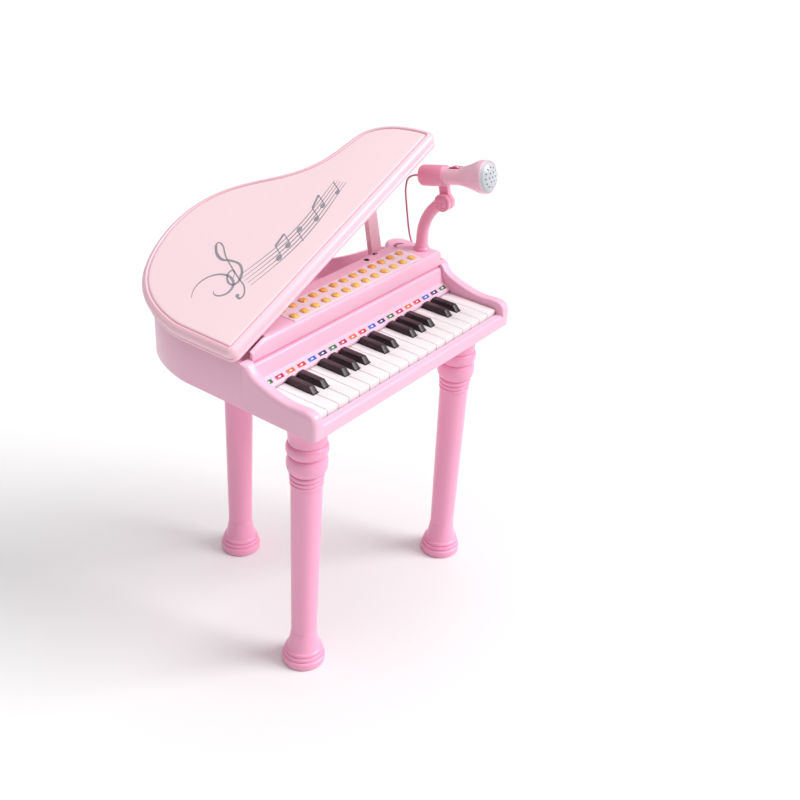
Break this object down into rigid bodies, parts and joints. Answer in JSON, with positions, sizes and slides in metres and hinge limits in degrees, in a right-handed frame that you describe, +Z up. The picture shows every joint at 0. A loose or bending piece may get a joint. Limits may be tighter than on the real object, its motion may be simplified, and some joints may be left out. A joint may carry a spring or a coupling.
{
  "type": "toy electronic keyboard",
  "caption": "Toy electronic keyboard shaped like a grand piano, on legs, with an open propped lid, spring-return keys and buttons, and a microphone on a curved arm.",
  "frame": {"origin": "centre of the object's footprint on the floor, the free cord left out", "axes": "+Z up, +X along the keyboard to the player's right, +Y away from the player"},
  "size_m": [0.4574, 0.3471, 0.6467],
  "materials": {
    "case_pink": "moulded",
    "lid_pink": "moulded",
    "leg_pink": "moulded",
    "microphone_pink": "moulded",
    "panel_pale": "printed",
    "white_keys": "polished",
    "black_keys": "satin",
    "button_orange": "moulded",
    "button_yellow": "moulded",
    "grille_silver": "satin",
    "steel": "plain",
    "cord_pink": "satin",
    "circuit_board": "plain",
    "speaker_dark": "plain",
    "battery_can": "satin",
    "socket_dark": "plain"
  },
  "bodies": {
    "case": {"upper_case": "case_pink", "lower_case": "case_pink", "button_panel": "panel_pale", "hinge_pins": "steel", "prop_pin": "steel", "leg_front_left": "leg_pink", "leg_front_right": "leg_pink", "leg_rear": "leg_pink", "leg_feet": "leg_pink", "mic_arm": "microphone_pink", "mic_pivot_knob": "microphone_pink", "mic_cord": "cord_pink", "cord_grommet": "cord_pink", "key_contact_board": "circuit_board", "key_pivot_rod": "steel", "speaker": "speaker_dark", "battery_door": "case_pink", "batteries": "battery_can", "case_screws": "steel", "aux_jack": "socket_dark"},
    "lid_body": {"lid": "lid_pink"},
    "prop": {"prop_stick": "lid_pink"},
    "mic_head": {"mic_holder": "microphone_pink", "mic_body": "microphone_pink", "mic_grille": "grille_silver"},
    "mic_slider": {"mic_switch": "microphone_pink"},
    "power_slider": {"power_switch": "socket_dark"},
    "front_buttons": {"button_row_front": "button_yellow"},
    "rear_buttons": {"button_row_rear": "button_orange"},
    "white_key_01": {"white_key_01": "white_keys"},
    "white_key_02": {"white_key_02": "white_keys"},
    "white_key_03": {"white_key_03": "white_keys"},
    "white_key_04": {"white_key_04": "white_keys"},
    "white_key_05": {"white_key_05": "white_keys"},
    "white_key_06": {"white_key_06": "white_keys"},
    "white_key_07": {"white_key_07": "white_keys"},
    "white_key_08": {"white_key_08": "white_keys"},
    "white_key_09": {"white_key_09": "white_keys"},
    "white_key_10": {"white_key_10": "white_keys"},
    "white_key_11": {"white_key_11": "white_keys"},
    "white_key_12": {"white_key_12": "white_keys"},
    "white_key_13": {"white_key_13": "white_keys"},
    "white_key_14": {"white_key_14": "white_keys"},
    "white_key_15": {"white_key_15": "white_keys"},
    "white_key_16": {"white_key_16": "white_keys"},
    "white_key_17": {"white_key_17": "white_keys"},
    "white_key_18": {"white_key_18": "white_keys"},
    "white_key_19": {"white_key_19": "white_keys"},
    "black_key_01": {"black_key_01": "black_keys"},
    "black_key_02": {"black_key_02": "black_keys"},
    "black_key_03": {"black_key_03": "black_keys"},
    "black_key_04": {"black_key_04": "black_keys"},
    "black_key_05": {"black_key_05": "black_keys"},
    "black_key_06": {"black_key_06": "black_keys"},
    "black_key_07": {"black_key_07": "black_keys"},
    "black_key_08": {"black_key_08": "black_keys"},
    "black_key_09": {"black_key_09": "black_keys"},
    "black_key_10": {"black_key_10": "black_keys"},
    "black_key_11": {"black_key_11": "black_keys"},
    "black_key_12": {"black_key_12": "black_keys"}
  },
  "joints": [
    {"name": "lid_hinge", "type": "hinge", "parent": "case", "child": "lid_body", "pos_m": [-0.1948, -0.01, 0.451], "axis": [0, -1, 0], "range_deg": [0, 16]},
    {"name": "prop_fold", "type": "hinge", "parent": "case", "child": "prop", "pos_m": [0.1452, 0.0085, 0.44], "axis": [0, -1, 0], "range_deg": [0, 76]},
    {"name": "mic_tilt", "type": "hinge", "parent": "case", "child": "mic_head", "pos_m": [0.1812, -0.0729, 0.5504], "axis": [1, 0, 0], "range_deg": [-20, 20], "deforming": ["mic_cord"]},
    {"name": "mic_switch_slide", "type": "slide", "parent": "mic_head", "child": "mic_slider", "axis": [0, -0.9732, 0.23], "range_m": [-0.0025, 0.0035]},
    {"name": "power_switch_slide", "type": "slide", "parent": "case", "child": "power_slider", "axis": [1, 0, 0], "range_m": [0, 0.004]},
    {"name": "front_buttons_press", "type": "slide", "parent": "case", "child": "front_buttons", "axis": [0, 0, -1], "range_m": [0, 0.0015], "stiffness_N_per_m": 400, "springref_m": -0.002},
    {"name": "rear_buttons_press", "type": "slide", "parent": "case", "child": "rear_buttons", "axis": [0, 0, -1], "range_m": [0, 0.0015], "stiffness_N_per_m": 400, "springref_m": -0.002},
    {"name": "white_key_01_press", "type": "hinge", "parent": "case", "child": "white_key_01", "pos_m": [-0.1748, -0.0495, 0.408], "axis": [1, 0, 0], "range_deg": [0, 2.5], "stiffness_Nm_per_rad": 0.6, "springref_deg": -5.73},
    {"name": "white_key_02_press", "type": "hinge", "parent": "case", "child": "white_key_02", "pos_m": [-0.1548, -0.0495, 0.408], "axis": [1, 0, 0], "range_deg": [0, 2.5], "stiffness_Nm_per_rad": 0.6, "springref_deg": -5.73},
    {"name": "white_key_03_press", "type": "hinge", "parent": "case", "child": "white_key_03", "pos_m": [-0.1348, -0.0495, 0.408], "axis": [1, 0, 0], "range_deg": [0, 2.5], "stiffness_Nm_per_rad": 0.6, "springref_deg": -5.73},
    {"name": "white_key_04_press", "type": "hinge", "parent": "case", "child": "white_key_04", "pos_m": [-0.1148, -0.0495, 0.408], "axis": [1, 0, 0], "range_deg": [0, 2.5], "stiffness_Nm_per_rad": 0.6, "springref_deg": -5.73},
    {"name": "white_key_05_press", "type": "hinge", "parent": "case", "child": "white_key_05", "pos_m": [-0.0948, -0.0495, 0.408], "axis": [1, 0, 0], "range_deg": [0, 2.5], "stiffness_Nm_per_rad": 0.6, "springref_deg": -5.73},
    {"name": "white_key_06_press", "type": "hinge", "parent": "case", "child": "white_key_06", "pos_m": [-0.0748, -0.0495, 0.408], "axis": [1, 0, 0], "range_deg": [0, 2.5], "stiffness_Nm_per_rad": 0.6, "springref_deg": -5.73},
    {"name": "white_key_07_press", "type": "hinge", "parent": "case", "child": "white_key_07", "pos_m": [-0.0548, -0.0495, 0.408], "axis": [1, 0, 0], "range_deg": [0, 2.5], "stiffness_Nm_per_rad": 0.6, "springref_deg": -5.73},
    {"name": "white_key_08_press", "type": "hinge", "parent": "case", "child": "white_key_08", "pos_m": [-0.0348, -0.0495, 0.408], "axis": [1, 0, 0], "range_deg": [0, 2.5], "stiffness_Nm_per_rad": 0.6, "springref_deg": -5.73},
    {"name": "white_key_09_press", "type": "hinge", "parent": "case", "child": "white_key_09", "pos_m": [-0.0148, -0.0495, 0.408], "axis": [1, 0, 0], "range_deg": [0, 2.5], "stiffness_Nm_per_rad": 0.6, "springref_deg": -5.73},
    {"name": "white_key_10_press", "type": "hinge", "parent": "case", "child": "white_key_10", "pos_m": [0.0052, -0.0495, 0.408], "axis": [1, 0, 0], "range_deg": [0, 2.5], "stiffness_Nm_per_rad": 0.6, "springref_deg": -5.73},
    {"name": "white_key_11_press", "type": "hinge", "parent": "case", "child": "white_key_11", "pos_m": [0.0252, -0.0495, 0.408], "axis": [1, 0, 0], "range_deg": [0, 2.5], "stiffness_Nm_per_rad": 0.6, "springref_deg": -5.73},
    {"name": "white_key_12_press", "type": "hinge", "parent": "case", "child": "white_key_12", "pos_m": [0.0452, -0.0495, 0.408], "axis": [1, 0, 0], "range_deg": [0, 2.5], "stiffness_Nm_per_rad": 0.6, "springref_deg": -5.73},
    {"name": "white_key_13_press", "type": "hinge", "parent": "case", "child": "white_key_13", "pos_m": [0.0652, -0.0495, 0.408], "axis": [1, 0, 0], "range_deg": [0, 2.5], "stiffness_Nm_per_rad": 0.6, "springref_deg": -5.73},
    {"name": "white_key_14_press", "type": "hinge", "parent": "case", "child": "white_key_14", "pos_m": [0.0852, -0.0495, 0.408], "axis": [1, 0, 0], "range_deg": [0, 2.5], "stiffness_Nm_per_rad": 0.6, "springref_deg": -5.73},
    {"name": "white_key_15_press", "type": "hinge", "parent": "case", "child": "white_key_15", "pos_m": [0.1052, -0.0495, 0.408], "axis": [1, 0, 0], "range_deg": [0, 2.5], "stiffness_Nm_per_rad": 0.6, "springref_deg": -5.73},
    {"name": "white_key_16_press", "type": "hinge", "parent": "case", "child": "white_key_16", "pos_m": [0.1252, -0.0495, 0.408], "axis": [1, 0, 0], "range_deg": [0, 2.5], "stiffness_Nm_per_rad": 0.6, "springref_deg": -5.73},
    {"name": "white_key_17_press", "type": "hinge", "parent": "case", "child": "white_key_17", "pos_m": [0.1452, -0.0495, 0.408], "axis": [1, 0, 0], "range_deg": [0, 2.5], "stiffness_Nm_per_rad": 0.6, "springref_deg": -5.73},
    {"name": "white_key_18_press", "type": "hinge", "parent": "case", "child": "white_key_18", "pos_m": [0.1652, -0.0495, 0.408], "axis": [1, 0, 0], "range_deg": [0, 2.5], "stiffness_Nm_per_rad": 0.6, "springref_deg": -5.73},
    {"name": "white_key_19_press", "type": "hinge", "parent": "case", "child": "white_key_19", "pos_m": [0.1852, -0.0495, 0.408], "axis": [1, 0, 0], "range_deg": [0, 2.5], "stiffness_Nm_per_rad": 0.6, "springref_deg": -5.73},
    {"name": "black_key_01_press", "type": "hinge", "parent": "case", "child": "black_key_01", "pos_m": [-0.1448, -0.0495, 0.408], "axis": [1, 0, 0], "range_deg": [0, 2.5], "stiffness_Nm_per_rad": 0.4, "springref_deg": -5.73},
    {"name": "black_key_02_press", "type": "hinge", "parent": "case", "child": "black_key_02", "pos_m": [-0.1248, -0.0495, 0.408], "axis": [1, 0, 0], "range_deg": [0, 2.5], "stiffness_Nm_per_rad": 0.4, "springref_deg": -5.73},
    {"name": "black_key_03_press", "type": "hinge", "parent": "case", "child": "black_key_03", "pos_m": [-0.0848, -0.0495, 0.408], "axis": [1, 0, 0], "range_deg": [0, 2.5], "stiffness_Nm_per_rad": 0.4, "springref_deg": -5.73},
    {"name": "black_key_04_press", "type": "hinge", "parent": "case", "child": "black_key_04", "pos_m": [-0.0648, -0.0495, 0.408], "axis": [1, 0, 0], "range_deg": [0, 2.5], "stiffness_Nm_per_rad": 0.4, "springref_deg": -5.73},
    {"name": "black_key_05_press", "type": "hinge", "parent": "case", "child": "black_key_05", "pos_m": [-0.0448, -0.0495, 0.408], "axis": [1, 0, 0], "range_deg": [0, 2.5], "stiffness_Nm_per_rad": 0.4, "springref_deg": -5.73},
    {"name": "black_key_06_press", "type": "hinge", "parent": "case", "child": "black_key_06", "pos_m": [-0.0048, -0.0495, 0.408], "axis": [1, 0, 0], "range_deg": [0, 2.5], "stiffness_Nm_per_rad": 0.4, "springref_deg": -5.73},
    {"name": "black_key_07_press", "type": "hinge", "parent": "case", "child": "black_key_07", "pos_m": [0.0152, -0.0495, 0.408], "axis": [1, 0, 0], "range_deg": [0, 2.5], "stiffness_Nm_per_rad": 0.4, "springref_deg": -5.73},
    {"name": "black_key_08_press", "type": "hinge", "parent": "case", "child": "black_key_08", "pos_m": [0.0552, -0.0495, 0.408], "axis": [1, 0, 0], "range_deg": [0, 2.5], "stiffness_Nm_per_rad": 0.4, "springref_deg": -5.73},
    {"name": "black_key_09_press", "type": "hinge", "parent": "case", "child": "black_key_09", "pos_m": [0.0752, -0.0495, 0.408], "axis": [1, 0, 0], "range_deg": [0, 2.5], "stiffness_Nm_per_rad": 0.4, "springref_deg": -5.73},
    {"name": "black_key_10_press", "type": "hinge", "parent": "case", "child": "black_key_10", "pos_m": [0.0952, -0.0495, 0.408], "axis": [1, 0, 0], "range_deg": [0, 2.5], "stiffness_Nm_per_rad": 0.4, "springref_deg": -5.73},
    {"name": "black_key_11_press", "type": "hinge", "parent": "case", "child": "black_key_11", "pos_m": [0.1352, -0.0495, 0.408], "axis": [1, 0, 0], "range_deg": [0, 2.5], "stiffness_Nm_per_rad": 0.4, "springref_deg": -5.73},
    {"name": "black_key_12_press", "type": "hinge", "parent": "case", "child": "black_key_12", "pos_m": [0.1552, -0.0495, 0.408], "axis": [1, 0, 0], "range_deg": [0, 2.5], "stiffness_Nm_per_rad": 0.4, "springref_deg": -5.73}
  ]
}
